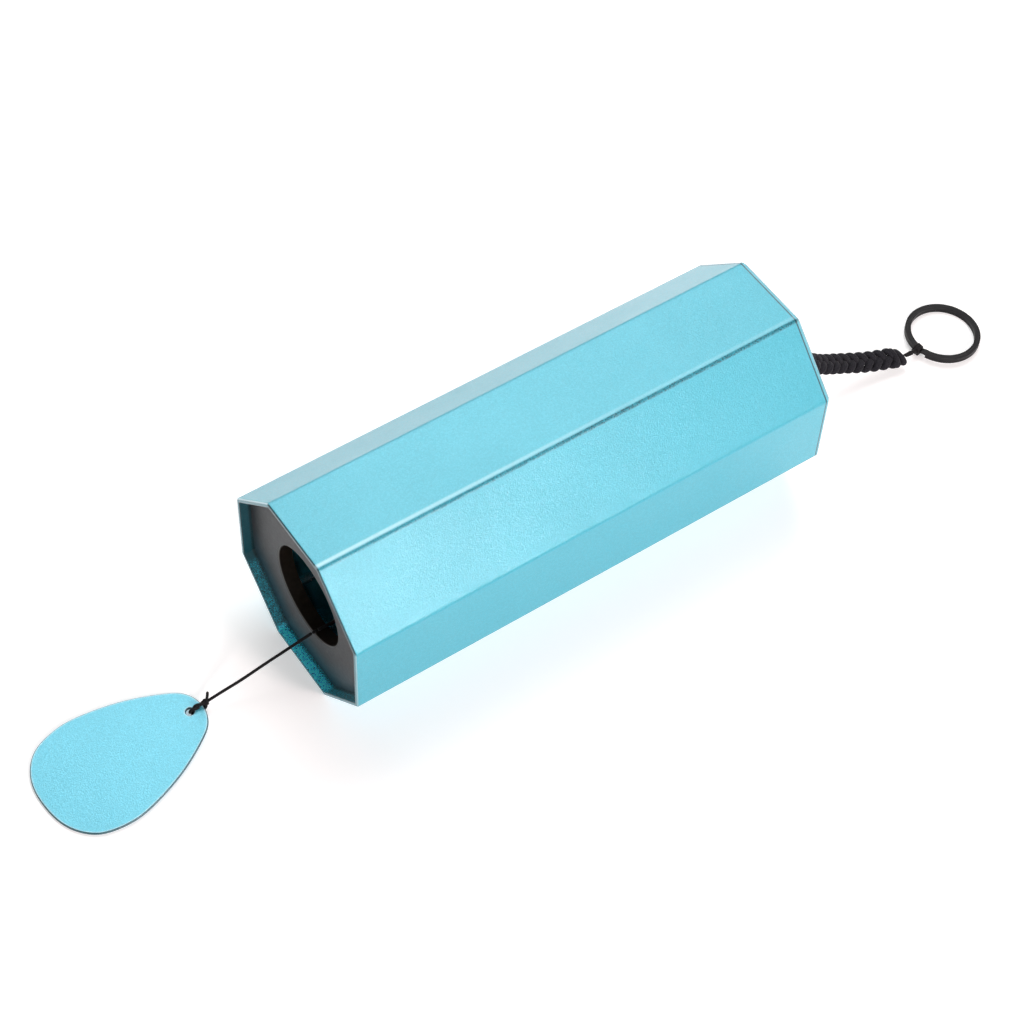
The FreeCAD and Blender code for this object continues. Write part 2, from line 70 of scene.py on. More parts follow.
# The cords' routes, point for point as the model's own tubes.
SAIL_HOLE = mm(-115.4, 2.15, 0)
SAIL_HEADING = 185.0
SAIL_LENGTH = 52.1
SAIL_TIP_TO_HOLE = 4.05
SAIL_TIP_RISE = 1.12
SAIL_KNOT = mm(-110.35, 1.85, 3.0)
KNOT_TAIL_TIP = mm(-108.95, 3.1, 5.6)
MOUTH_SWING_PIVOT = mm(-76.2, -2.35, 16.3)
MOUTH_LIFT_PIVOT = mm(-77.7, -2.35, 16.3)
STRIKER_PIVOT = mm(68.8, 0, 31)
STRIKER_CORD_END = mm(-31.432, -3.294, 23.049)
DROP_CORD = [STRIKER_CORD_END] + route(
    (-39.3, -3.53, 22.4), (-47.3, -3.4, 20.1), (-55.3, -3.1, 18.0),
    (-63.3, -2.75, 16.8), (-70.3, -2.45, 16.35), (-75.6, -2.35, 16.3))
LANYARD_SWING_PIVOT = mm(83.0, 0, 31)
LANYARD_LIFT_PIVOT = mm(86.6, 0, 30.4)
BRAID = route(
    (90.0, -0.4, 27.4), (96.6, -1.18, 21.58), (103.9, -1.7, 14.6), (111.4, -1.9, 10.0),
    (119.2, -2.9, 6.8), (127.1, -5.0, 4.7), (135.6, -7.2, 3.4))
RING_SWING_PIVOT = mm(136.7, -7.2, 3.4)
RING_TILT_PIVOT = mm(139.3, -7.0, 2.9)
RING_CENTRE = mm(153.3, -5.5, 0.725)
RING_RADIUS = 12.0
RING_LIFT = 1.45
RING_RAISED_ANGLE = 200.0
HITCH_ANGLE = 188.5

CORD_RADIUS = 0.45
THIN_STRAND_RADIUS = 0.42
FINE_SPACING = 0.12
PLAIT_PERIOD = 10.2
PLAIT_ROLL = math.radians(24)


# ---------------------------------------------------------------- helpers for shapes

def link(name, data):
    piece = bpy.data.objects.new(name, data)
    bpy.context.scene.collection.objects.link(piece)
    return piece


def smooth_line(points, spacing=0.25):
    """Evenly spaced points, in mm, along the NURBS spline whose control points are a route's points."""
    curve = bpy.data.curves.new("Route", "CURVE")
    curve.dimensions = "3D"
    curve.resolution_u = 32
    spline = curve.splines.new("NURBS")
    spline.points.add(len(points) - 1)
    for point, place in zip(spline.points, points):
        point.co = (*place, 1)
    spline.order_u = 3
    spline.use_endpoint_u = True
    holder = link("Route", curve)
    mesh = bpy.data.meshes.new_from_object(holder)
    line = np.array([vertex.co for vertex in mesh.vertices]) / MM
    bpy.data.objects.remove(holder)
    bpy.data.meshes.remove(mesh)
    return resample(line, spacing)


def resample(line, spacing):
    """The same line with evenly spaced points."""
    steps = np.linalg.norm(np.diff(line, axis=0), axis=1)
    along = np.concatenate([[0], np.cumsum(steps)])
    count = max(2, int(round(along[-1] / spacing)) + 1)
    wanted = np.linspace(0, along[-1], count)
    return np.stack([np.interp(wanted, along, line[:, axis]) for axis in range(3)], axis=1)


def unit(vectors):
    return vectors / np.maximum(np.linalg.norm(vectors, axis=-1, keepdims=True), 1e-9)


def line_length(line):
    return float(np.linalg.norm(np.diff(line, axis=0), axis=1).sum())


def tangents(line):
    return unit(np.gradient(line, axis=0))


def level_frame(line):
    """Along, sideways and upward unit vectors on a line; sideways stays level."""
    along = tangents(line)
    side = unit(np.cross([0, 0, 1], along))
    return along, side, np.cross(along, side)


def carried_frame(line):
    """Two unit vectors square to the line that turn with it and never twist about it."""
    along = tangents(line)
    first = np.cross(along[0], [0.31, 0.17, 0.94])
    if np.linalg.norm(first) < 0.1:
        first = np.cross(along[0], [0.9, 0.3, 0.1])
    normals = [unit(first)]
    for direction in along[1:]:
        carried = normals[-1] - direction * np.dot(normals[-1], direction)
        normals.append(unit(carried))
    normals = np.array(normals)
    return normals, np.cross(along, normals)


def closed_frame(along):
    """Two unit vectors square to a nearly flat closed line, from the unit vectors along it."""
    reference = unit(np.cross(along, np.roll(along, 3, axis=0)).mean(axis=0))
    normal = unit(reference - along * np.sum(along * reference, axis=1, keepdims=True))
    return normal, np.cross(along, normal)


class Tubes:
    """Collects round strands, in mm, into one mesh.

    Its UVs are the distance along the strand in mm and the share of the way round it.
    """

    def __init__(self):
        self.points = []
        self.faces = []
        self.uvs = []

    def add(self, line, radius, sides=12, closed=False, flat=None):
        """radius: one number or one per point. flat: a direction and the share of thickness kept that way."""
        line = np.asarray(line, float)
        count = len(line)
        radii = np.broadcast_to(np.asarray(radius, float), (count,))
        if closed:
            ring = np.concatenate([line[-1:], line, line[:1]])
            along = unit(ring[2:] - ring[:-2])
            normal, other = closed_frame(along)
        else:
            normal, other = carried_frame(line)
        angles = np.arange(sides) * 2 * math.pi / sides
        around = (normal[:, None, :] * np.cos(angles)[None, :, None]
                  + other[:, None, :] * np.sin(angles)[None, :, None])
        if flat is not None:
            direction, kept = np.asarray(flat[0], float), flat[1]
            lift = np.sum(around * direction, axis=2, keepdims=True)
            around = around - direction * lift * (1 - kept)
        first = sum(len(block) for block in self.points)
        self.points.append((line[:, None, :] + around * radii[:, None, None]).reshape(-1, 3))
        distance = np.concatenate([[0], np.cumsum(np.linalg.norm(np.diff(line, axis=0), axis=1))])
        rows = count if closed else count - 1
        for row in range(rows):
            after = (row + 1) % count
            end = distance[after] if after else distance[-1] + np.linalg.norm(line[0] - line[-1])
            for side in range(sides):
                beside = (side + 1) % sides
                here, there = first + row * sides, first + after * sides
                self.faces.append([here + side, here + beside, there + beside, there + side])
                low, high = side / sides, (side + 1) / sides
                self.uvs += [(distance[row], low), (distance[row], high), (end, high), (end, low)]
        if not closed:
            self.cap(line[0], first, sides, distance[0], True)
            self.cap(line[-1], first + (count - 1) * sides, sides, distance[-1], False)

    def cap(self, centre, first, sides, distance, backwards):
        """A fan of triangles over the open end whose ring of points starts at first."""
        tip = sum(len(block) for block in self.points)
        self.points.append(np.array([centre]))
        for side in range(sides):
            beside = (side + 1) % sides
            pair = (first + beside, first + side) if backwards else (first + side, first + beside)
            self.faces.append([tip, *pair])
            self.uvs += [(distance, 0.5), (distance, side / sides), (distance, beside / sides)]

    def build(self, name, material, body=None, replaces=()):
        mesh = bpy.data.meshes.new(name)
        mesh.from_pydata(np.concatenate(self.points) * MM, [], self.faces)
        layer = mesh.uv_layers.new(name="UVMap")
        layer.data.foreach_set("uv", np.array(self.uvs, np.float32).ravel())
        mesh.polygons.foreach_set("use_smooth", [True] * len(mesh.polygons))
        mesh.materials.append(material)
        mesh.update()
        piece = link(name, mesh)
        if body:
            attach(piece, body)
        if replaces:
            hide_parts(*replaces)
        return piece


def rounded_ends(line, radius, spacing=0.25):
    """One radius per point: full along the line and drawn in at its two cut ends."""
    distance = np.arange(len(line)) * spacing
    from_end = np.minimum(distance, distance[::-1])
    share = np.clip(from_end / radius, 0.0, 1.0)
    return radius * np.sqrt(np.clip(1 - (1 - share) ** 2, 0.12, 1))


# ---------------------------------------------------------------- material building blocks

def new_material(name):
    material = bpy.data.materials.new(name)
    material.use_nodes = True
    tree = material.node_tree
    return material, tree, tree.nodes["Principled BSDF"]


def feed(tree, made, inputs):
    """Sets a node's inputs: numbers and colours as they are, sockets by a link."""
    for name, value in inputs.items():
        if isinstance(value, bpy.types.NodeSocket):
            tree.links.new(value, made.inputs[name])
        else:
            made.inputs[name].default_value = value


def node(tree, kind, inputs, **settings):
    made = tree.nodes.new(kind)
    for name, value in settings.items():
        setattr(made, name, value)
    feed(tree, made, inputs)
    return made


def coordinates(tree, kind):
    return tree.nodes.new("ShaderNodeTexCoord").outputs[kind]


def maths(tree, operation, first, second=0.0):
    return node(tree, "ShaderNodeMath", {0: first, 1: second}, operation=operation).outputs[0]


def times(tree, first, *others):
    for other in others:
        first = maths(tree, "MULTIPLY", first, other)
    return first


def hypotenuse(tree, first, second):
    squares = maths(tree, "ADD", maths(tree, "POWER", first, 2.0), maths(tree, "POWER", second, 2.0))
    return maths(tree, "SQRT", squares)


def vector_maths(tree, operation, first, second, output=0):
    return node(tree, "ShaderNodeVectorMath", {0: first, 1: second}, operation=operation).outputs[output]


def split(tree, vector):
    parts = node(tree, "ShaderNodeSeparateXYZ", {"Vector": vector})
    return parts.outputs["X"], parts.outputs["Y"], parts.outputs["Z"]


def position_mm(tree):
    """The point's place in the model, in mm, carried along when the piece moves."""
    return vector_maths(tree, "MULTIPLY", coordinates(tree, "Object"), (1 / MM, 1 / MM, 1 / MM))


def noise(tree, place, scale, detail, roughness=0.5):
    inputs = {"Vector": place, "Scale": scale, "Detail": detail, "Roughness": roughness}
    return node(tree, "ShaderNodeTexNoise", inputs).outputs["Fac"]


def cells(tree, place, scale):
    """Three random numbers from 0 to 1 for each small cell of space."""
    colour = node(tree, "ShaderNodeTexVoronoi", {"Vector": place, "Scale": scale}).outputs["Color"]
    return node(tree, "ShaderNodeSeparateColor", {"Color": colour}).outputs


def ramp(tree, factor, stops):
    made = node(tree, "ShaderNodeValToRGB", {"Fac": factor})
    elements = made.color_ramp.elements
    while len(elements) < len(stops):
        elements.new(0.5)
    for element, (place, colour) in zip(elements, stops):
        element.position = place
        element.color = (*colour, 1)
    return made.outputs["Color"]


def spread(tree, value, low, high, to_low, to_high):
    """Carries the range low to high over to the range to_low to to_high, and holds it there outside."""
    inputs = {"Value": value, "From Min": low, "From Max": high, "To Min": to_low, "To Max": to_high}
    return node(tree, "ShaderNodeMapRange", inputs).outputs["Result"]


def window(tree, value, low, high, soft):
    """1 between low and high, 0 outside, with soft shoulders."""
    rise = spread(tree, value, low - soft, low + soft, 0.0, 1.0)
    fall = spread(tree, value, high - soft, high + soft, 1.0, 0.0)
    return times(tree, rise, fall)


def scaled(tree, colour, factor):
    inputs = {0: colour, "Scale": factor}
    return node(tree, "ShaderNodeVectorMath", inputs, operation="SCALE").outputs[0]


def mixed(tree, factor, first, second):
    return node(tree, "ShaderNodeMix", {"Factor": factor, 2: first, 3: second}).outputs[0]


def mixed_colour(tree, factor, first, second):
    """Either colour is a socket or four numbers."""
    return node(tree, "ShaderNodeMix", {"Factor": factor, 6: first, 7: second}, data_type="RGBA").outputs[2]


def bump(tree, strength, distance, height, normal=None):
    inputs = {"Strength": strength, "Distance": distance, "Height": height}
    if normal is not None:
        inputs["Normal"] = normal
    return node(tree, "ShaderNodeBump", inputs).outputs["Normal"]


def soft_edge(tree, radius, samples=4):
    return node(tree, "ShaderNodeBevel", {"Radius": radius}, samples=samples).outputs["Normal"]


def tube_place(tree, place):
    """How far a point is along the tube, across it and above its axis, in mm."""
    along, across, up = split(tree, place)
    return along, across, maths(tree, "SUBTRACT", up, CENTRE_HEIGHT)


def octagon_reach(tree, across, height):
    """How far out from the tube's axis a point lies, in mm, measured square to the nearest flat."""
    reach = maths(tree, "MAXIMUM", maths(tree, "ABSOLUTE", across), maths(tree, "ABSOLUTE", height))
    for operation in ("ADD", "SUBTRACT"):
        slanted = maths(tree, "ABSOLUTE", maths(tree, operation, across, height))
        reach = maths(tree, "MAXIMUM", reach, times(tree, slanted, math.sqrt(0.5)))
    return reach


# ---------------------------------------------------------------- materials

# Colours of the dye, and the pale colours painted on as highlights.
SHELL_BLUE = (0.026, 0.374, 0.486)
SAIL_BLUE = (0.10, 0.535, 0.69)
SHELL_HIGHLIGHT = (0.60, 0.84, 0.90, 1)
SAIL_HIGHLIGHT = (0.70, 0.90, 0.94, 1)

# How an anodised piece shines, and how far its grain varies.
ANODISED_METALLIC = 0.2
ANODISED_ROUGHNESS = (0.39, 0.45)
ANODISED_COAT = 0.7
ANODISED_COAT_ROUGHNESS = 0.21
GRAIN_SCALE = 2.2
SPECK_SCALE = 3.0
GRAIN_DEPTH = 0.00009

# Marks on the tube, most of them painted light and shade: the scale of the painted glints' flecks inside it,
# then places in mm beside the edge between two flats or in from an end.
INNER_GLINT_SCALE = 6.5
TOP_EDGE_DARK_BELOW_TOP = (-0.2, 0.62)
TOP_EDGE_DARK_ACROSS = (-1.4, 0.4)
TOP_EDGE_HIGHLIGHT_ACROSS = (0.5, 1.6)
MOUTH_CHAMFER = (0.26, 0.34)
FAR_DARK_LINE = (1.85, 1.42)
FAR_HIGHLIGHT_BAND = (1.38, 1.34)


def inner_shade_and_glints(tree, place, along, across, height, mouth):
    """How bright the tube's inside is painted, as a share of the dye: painted shade, with painted glints on
    coarse flecks.
    """
    shade = spread(tree, cells(tree, place, INNER_GLINT_SCALE)[0], 0.35, 0.95, 0.3, 2.4)
    # Painted light: the bottom wall is painted brighter, as if lit through the mouth.
    on_bottom_wall = spread(tree, height, -29.9, -28.5, 2.8, 0.78)
    shade = times(tree, shade, on_bottom_wall)
    # Painted shade: the wall on the far side is painted one smooth, dark tone.
    on_back_wall = spread(tree, across, 27.0, 28.5, 0.0, 1.0)
    shade = mixed(tree, on_back_wall, shade, 0.33)
    # Behind the plate the inside is painted one even, brighter tone.
    behind_plate = spread(tree, along, mouth + 12.0, mouth + 14.0, 0.0, 1.0)
    shade = mixed(tree, behind_plate, shade, 2.2)
    plate_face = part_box("base_plate")[0].x / MM
    dark_joint = spread(tree, along, plate_face - 1.1, plate_face - 0.5, 1.0, 0.35)
    return times(tree, shade, dark_joint)


def top_edge_dark_reflection(tree, along, across, height, speck, mouth):
    """A dark, speckled line painted on the top flat's near edge, a painted dark reflection, weaker towards the
    mouth.
    """
    below_top = maths(tree, "SUBTRACT", HALF_ACROSS_FLATS, height)
    start, end = TOP_EDGE_DARK_ACROSS
    line = times(tree, window(tree, below_top, *TOP_EDGE_DARK_BELOW_TOP, 0.12),
                 window(tree, across, start - HALF_FLAT, end - HALF_FLAT, 0.1))
    return times(tree, line, spread(tree, speck, 0.0, 1.0, 0.1, 0.74),
                 spread(tree, along, mouth, 10.0, 0.45, 1.0))


def top_edge_highlight(tree, along, across, height, mouth):
    """A painted highlight: the strip beside the dark edge line on the top flat, painted pale, most near the
    mouth.
    """
    start, end = TOP_EDGE_HIGHLIGHT_ACROSS
    strip = times(tree, window(tree, across, start - HALF_FLAT, end - HALF_FLAT, 0.3),
                  spread(tree, height, 30.5, 30.9, 0.0, 1.0))
    return times(tree, strip, spread(tree, along, mouth, 20.0, 0.50, 0.12))


def mouth_rim_light_and_shade(tree, along, across, height, mouth):
    """The rim's chamfer painted pale, a painted highlight palest on the lit sides, and its cut face painted
    dark, a painted shade.
    """
    lit_side = maths(tree, "MAXIMUM", spread(tree, across, 12.4, 13.2, 0.0, 1.0),
                     spread(tree, height, 13.2, 12.4, 0.0, 0.5))
    at_mouth = spread(tree, along, mouth + MOUTH_CHAMFER[0], mouth + MOUTH_CHAMFER[1], 1.0, 0.0)
    outermost = spread(tree, octagon_reach(tree, across, height), 30.62, 30.74, 0.0, 1.0)
    # Painted highlight on the lit sides' chamfer; painted shade on the cut face, darkest on the other sides.
    pale = times(tree, at_mouth, outermost, lit_side)
    dark = times(tree, maths(tree, "SUBTRACT", at_mouth, pale), spread(tree, lit_side, 0.0, 0.5, 0.78, 0.45))
    return pale, dark


def shell_marks(tree, place, speck, colour):
    """Colour painted on the tube by place: shade and glints inside, light and shade on the top edge and the rim,
    far-end lines.
    """
    along, across, height = tube_place(tree, place)
    low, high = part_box("shell")
    mouth, far = low.x / MM, high.x / MM

    # Inside, the dye's colour is scaled by the painted shade and glints.
    inside = spread(tree, octagon_reach(tree, across, height), 29.85, 29.95, 1.0, 0.0)
    shade = mixed(tree, inside, 1.0, inner_shade_and_glints(tree, place, along, across, height, mouth))
    # A dark line painted round the tube near its far end.
    far_dark_line = times(tree, window(tree, along, far - FAR_DARK_LINE[0], far - FAR_DARK_LINE[1], 0.05), 0.8)
    rim_highlight, rim_shade = mouth_rim_light_and_shade(tree, along, across, height, mouth)
    # Painted shade: the dark edge reflection, the far dark line and the rim's cut face darken the colour.
    for mark in (top_edge_dark_reflection(tree, along, across, height, speck, mouth), far_dark_line, rim_shade):
        shade = times(tree, shade, maths(tree, "SUBTRACT", 1.0, mark))

    # Painted highlights: a pale band on the far end, the rim's chamfer and the strip beside the top edge.
    far_highlight_band = spread(tree, along, far - FAR_HIGHLIGHT_BAND[0], far - FAR_HIGHLIGHT_BAND[1], 0.0, 0.12)
    pale = maths(tree, "MAXIMUM", far_highlight_band, times(tree, rim_highlight, 0.8))
    pale = maths(tree, "MAXIMUM", pale, top_edge_highlight(tree, along, across, height, mouth))
    return mixed_colour(tree, pale, scaled(tree, colour, shade), SHELL_HIGHLIGHT)


def sail_marks(tree, _place, _speck, colour):
    """The sail's cut edge is painted darker than its faces, a painted shade, with a painted highlight on the
    faces beside it.
    """
    _, _, facing_up = split(tree, coordinates(tree, "Normal"))
    on_face = spread(tree, maths(tree, "ABSOLUTE", facing_up), 0.80, 0.90, 0.0, 1.0)
    # Painted shade on the cut edge.
    colour = scaled(tree, colour, spread(tree, on_face, 0.0, 1.0, 0.18, 1.0))
    true_normal = tree.nodes.new("ShaderNodeNewGeometry").outputs["True Normal"]
    near_edge = vector_maths(tree, "DOT_PRODUCT", soft_edge(tree, 0.0008, 6), true_normal, "Value")
    # Painted highlight along the faces' edges.
    sail_edge_highlight = times(tree, on_face, spread(tree, near_edge, 0.999, 0.97, 0.0, 0.6))
    return mixed_colour(tree, sail_edge_highlight, colour, SAIL_HIGHLIGHT)


def anodised(name, base, edge_radius, marks):
    """Bead-blasted, dyed aluminium: a fine grain of tiny dents that catch the light, and soft edges."""
    material, tree, shader = new_material(name)
    place = position_mm(tree)
    speck = cells(tree, place, SPECK_SCALE)
    fine = noise(tree, place, GRAIN_SCALE, 3.0, 0.75)
    broad = noise(tree, place, 0.045, 2.0)
    light = tuple(channel * 1.09 + 0.01 for channel in base)
    dark = tuple(channel * 0.92 for channel in base)
    tone = maths(tree, "ADD", times(tree, speck[0], 0.3), times(tree, fine, 0.7))
    colour = marks(tree, place, speck[2], ramp(tree, tone, [(0.3, dark), (0.5, base), (0.7, light)]))
    dents = maths(tree, "ADD", times(tree, speck[1], 0.5), times(tree, fine, 2.0))
    normal = bump(tree, 0.45, GRAIN_DEPTH, dents, soft_edge(tree, edge_radius))
    feed(tree, shader, {
        "Base Color": colour, "Metallic": ANODISED_METALLIC,
        "Roughness": spread(tree, broad, 0.3, 0.7, *ANODISED_ROUGHNESS),
        "Coat Weight": ANODISED_COAT, "Coat Roughness": ANODISED_COAT_ROUGHNESS, "Coat IOR": 1.5,
        "Normal": normal, "Coat Normal": normal})
    return material


def painted_plate():
    """Dark grey face with a painted blue reflection low beside the dyed wall and a painted highlight round the
    hole; brown-black hole wall.
    """
    material, tree, shader = new_material("PlateGrey")
    place = position_mm(tree)
    _, across, height = tube_place(tree, place)
    radius = hypotenuse(tree, across, height)
    mottle = noise(tree, place, 0.9, 4.0, 0.65)
    fine = noise(tree, place, 7.0, 2.0)
    face = ramp(tree, mottle, [(0.3, (0.025, 0.027, 0.030)), (0.7, (0.037, 0.038, 0.041))])
    hole_wall = ramp(tree, mottle, [(0.3, (0.010, 0.007, 0.005)), (0.7, (0.022, 0.015, 0.010))])
    on_face = spread(tree, radius, PLATE_HOLE + 0.05, PLATE_HOLE + 0.2, 0.0, 1.0)
    colour = mixed_colour(tree, on_face, hole_wall, face)
    # Painted reflection: a blue cast low on the face, as if bounced off the dyed wall.
    blue_bounce = times(tree, spread(tree, octagon_reach(tree, across, height), 20.0, 29.0, 0.0, 0.8),
                 spread(tree, height, 0.0, -16.0, 0.0, 1.0))
    colour = mixed_colour(tree, blue_bounce, colour, (0.028, 0.085, 0.115, 1))
    # Painted highlight: a thin pale ring on the hole's edge.
    hole_edge_highlight = times(tree, window(tree, radius, PLATE_HOLE + 0.12, PLATE_HOLE + 0.36, 0.05), 0.8)
    colour = mixed_colour(tree, hole_edge_highlight, colour, (0.16, 0.16, 0.15, 1))
    feed(tree, shader, {
        "Base Color": colour, "Specular IOR Level": 0.22,
        "Roughness": spread(tree, mottle, 0.3, 0.7, 0.36, 0.46),
        "Normal": bump(tree, 0.2, 0.00004, fine)})
    return material


def black_cap():
    """Moulded black plastic, faintly pitted."""
    material, tree, shader = new_material("CapBlack")
    place = position_mm(tree)
    pits = noise(tree, place, 3.0, 5.0, 0.7)
    broad = noise(tree, place, 0.12, 3.0)
    feed(tree, shader, {
        "Base Color": ramp(tree, pits, [(0.3, (0.014, 0.014, 0.016)), (0.7, (0.030, 0.030, 0.033))]),
        "Roughness": spread(tree, broad, 0.3, 0.7, 0.42, 0.56),
        "Normal": bump(tree, 0.3, 0.00006, pits)})
    return material


def drawn_metal(name, light, dark, roughness, line_scale):
    """Bare metal with fine drawing lines along X."""
    material, tree, shader = new_material(name)
    place = position_mm(tree)
    stretched = vector_maths(tree, "MULTIPLY", place, (0.02, 1, 1))
    lines = noise(tree, stretched, line_scale, 4.0, 0.7)
    blotch = noise(tree, place, 0.25, 3.0)
    feed(tree, shader, {
        "Base Color": ramp(tree, lines, [(0.3, dark), (0.7, light)]), "Metallic": 1.0,
        "Roughness": spread(tree, blotch, 0.3, 0.7, roughness - 0.05, roughness + 0.07),
        "Normal": bump(tree, 0.15, 0.00003, lines)})
    return material


def clear_acrylic():
    """Clear plastic, scuffed in patches."""
    material, tree, shader = new_material("StrikerClear")
    scuffs = noise(tree, position_mm(tree), 1.2, 6.0, 0.75)
    feed(tree, shader, {
        "Base Color": ramp(tree, scuffs, [(0.3, (0.90, 0.93, 0.93)), (0.7, (0.98, 0.99, 0.99))]),
        "Roughness": spread(tree, scuffs, 0.45, 0.8, 0.06, 0.3),
        "IOR": 1.49, "Transmission Weight": 0.9})
    return material


def braided_cord(name, dark, light, plaits_per_mm):
    """Tightly braided polyester: fine diamonds that follow each strand."""
    material, tree, shader = new_material(name)
    uv = node(tree, "ShaderNodeUVMap", {}, uv_map="UVMap").outputs["UV"]
    distance, share_round, _ = split(tree, uv)
    along = times(tree, distance, plaits_per_mm)
    around = times(tree, share_round, 6.0)
    waves = [maths(tree, "SINE", times(tree, maths(tree, operation, along, around), 2 * math.pi))
             for operation in ("ADD", "SUBTRACT")]
    weave = maths(tree, "MAXIMUM", *waves)
    relief = maths(tree, "ADD", times(tree, weave, 0.25), noise(tree, position_mm(tree), 5.0, 3.0, 0.7))
    feed(tree, shader, {
        "Base Color": ramp(tree, relief, [(0.25, dark), (0.85, light)]),
        "Roughness": 0.72, "Specular IOR Level": 0.2, "Sheen Weight": 0.08, "Sheen Roughness": 0.45,
        "Normal": bump(tree, 0.5, 0.00006, relief)})
    return material


def black_ring_metal():
    """Black-coated flat wire with long, faint streaks round the ring."""
    material, tree, shader = new_material("RingBlack")
    centred = vector_maths(tree, "SUBTRACT", position_mm(tree), tuple(RING_CENTRE / MM))
    x, y, z = split(tree, centred)
    radius = hypotenuse(tree, x, y)
    turn = maths(tree, "ARCTAN2", y, x)
    unrolled = node(tree, "ShaderNodeCombineXYZ", {
        "X": times(tree, turn, 0.8), "Y": times(tree, radius, 3.5), "Z": times(tree, z, 3.5)}).outputs[0]
    streaks = noise(tree, unrolled, 1.0, 4.0, 0.65)
    colour = ramp(tree, streaks, [
        (0.3, (0.005, 0.005, 0.006)), (0.5, (0.010, 0.010, 0.011)), (0.72, (0.034, 0.034, 0.036))])
    feed(tree, shader, {
        "Base Color": colour, "Specular IOR Level": 0.18,
        "Roughness": spread(tree, streaks, 0.3, 0.7, 0.38, 0.5),
        "Normal": bump(tree, 0.2, 0.00005, streaks, soft_edge(tree, 0.00016))})
    return material


def paint(material, *names):
    for name in names:
        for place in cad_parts[name].material_slots:
            place.material = material


# ---------------------------------------------------------------- camera

# Fitted to the tube's corners, the sail and the ring in the photo.
CAMERA_PLACE = (-260.428, -338.918, 593.810)
CAMERA_LOOK = (0.3534, 0.4755, -0.8056)
CAMERA_ROLL = math.radians(2.976)
CAMERA_LENS = 86.77


def make_camera():
    data = bpy.data.cameras.new("Camera")
    data.sensor_width = 36.0
    data.lens = CAMERA_LENS
    data.clip_start = 0.01
    data.clip_end = 20.0
    camera = link("Camera", data)
    look = Vector(CAMERA_LOOK).normalized()
    level = look.cross(Vector((0, 0, 1))).normalized()
    rise = level.cross(look)
    right = level * math.cos(CAMERA_ROLL) + rise * math.sin(CAMERA_ROLL)
    up = right.cross(look)
    turn = Matrix((right, up, -look)).transposed().to_4x4()
    camera.matrix_world = Matrix.Translation(mm(*CAMERA_PLACE)) @ turn
    bpy.context.scene.camera = camera


# ---------------------------------------------------------------- cords

def knot_line(size, count=160):
    """A trefoil, the path of a cord in a pulled overhand knot, as a closed line about size mm across."""
    t = np.arange(count) * 2 * math.pi / count
    x = np.sin(t) + 2 * np.sin(2 * t)
    y = np.cos(t) - 2 * np.cos(2 * t)
    z = -1.15 * np.sin(3 * t)
    return np.stack([x, y, z], axis=1) * size / 6


def turned(line, direction, centre, roll=0.0):
    """Turns a line's local Z to a direction and carries it to a centre, both in mm."""
    turn = Vector(direction).to_track_quat("Z", "Y").to_matrix() @ Matrix.Rotation(roll, 3, "Z")
    return np.asarray(line) @ np.array(turn).T + np.asarray(centre)


def make_plait(material):
    """Flat plait of doubled strands round a core, closed off by a larger last knot."""
    knot_length, taper_length = 3.4, 3.0
    half_width, half_thickness, half_gap = 2.3, 0.85, 0.30
    strand_radius, core_radius = 0.84, 1.35
    line = smooth_line(BRAID, FINE_SPACING)
    length = line_length(line)
    distance = np.linspace(0, length, len(line))
    _, side, lift = level_frame(line)
    side, lift = (side * math.cos(PLAIT_ROLL) + lift * math.sin(PLAIT_ROLL),
                  lift * math.cos(PLAIT_ROLL) - side * math.sin(PLAIT_ROLL))
    body_end = length - knot_length
    keep = distance <= body_end
    swing = half_width * (np.clip(distance / taper_length, 0, 1)[:, None] * 0.45 + 0.55)
    tubes = Tubes()
    for strand in range(3):
        turn = 2 * math.pi * (distance / PLAIT_PERIOD + strand / 3)
        wobble = 1 + 0.05 * np.sin(distance * 0.9 + strand * 2.1)
        sway = (np.cos(turn) + 0.2 * np.cos(3 * turn)) / 1.2
        path = (line + side * (swing * (sway * wobble)[:, None])
                + lift * (half_thickness * np.sin(2 * turn))[:, None])
        ahead = tangents(path)
        beside = unit(np.cross(lift, ahead))
        for half in (-half_gap, half_gap):
            tubes.add((path + beside * half)[keep], strand_radius)
    tubes.add(line[keep], core_radius, flat=((0, 0, 1), 0.55))
    last_knot(tubes, line, distance, side, lift, body_end)
    piece = tubes.build("lanyard_plait", material, "lanyard", ["lanyard_braid"])
    return piece, line


def last_knot(tubes, line, distance, side, lift, start):
    """Two fat, slanting turns that lock the end of the plait, with the strands' ends inside."""
    strand_radius = 1.05
    angles = np.arange(48) * 2 * math.pi / 48
    for offset, slant, half_width, half_thickness in ((-0.3, 0.6, 3.35, 2.0), (1.7, 1.1, 2.9, 1.9)):
        index = min(int(np.searchsorted(distance, start + offset)), len(line) - 2)
        along = unit(line[index + 1] - line[index])
        loop = (line[index] + side[index] * (half_width - strand_radius) * np.cos(angles)[:, None]
                + lift[index] * (half_thickness - strand_radius) * np.sin(angles)[:, None]
                - along * slant * np.cos(angles)[:, None])
        tubes.add(loop, strand_radius, closed=True)
    tail = line[distance >= start - 1.0]
    tubes.add(tail, np.linspace(1.5, 0.75, len(tail)))


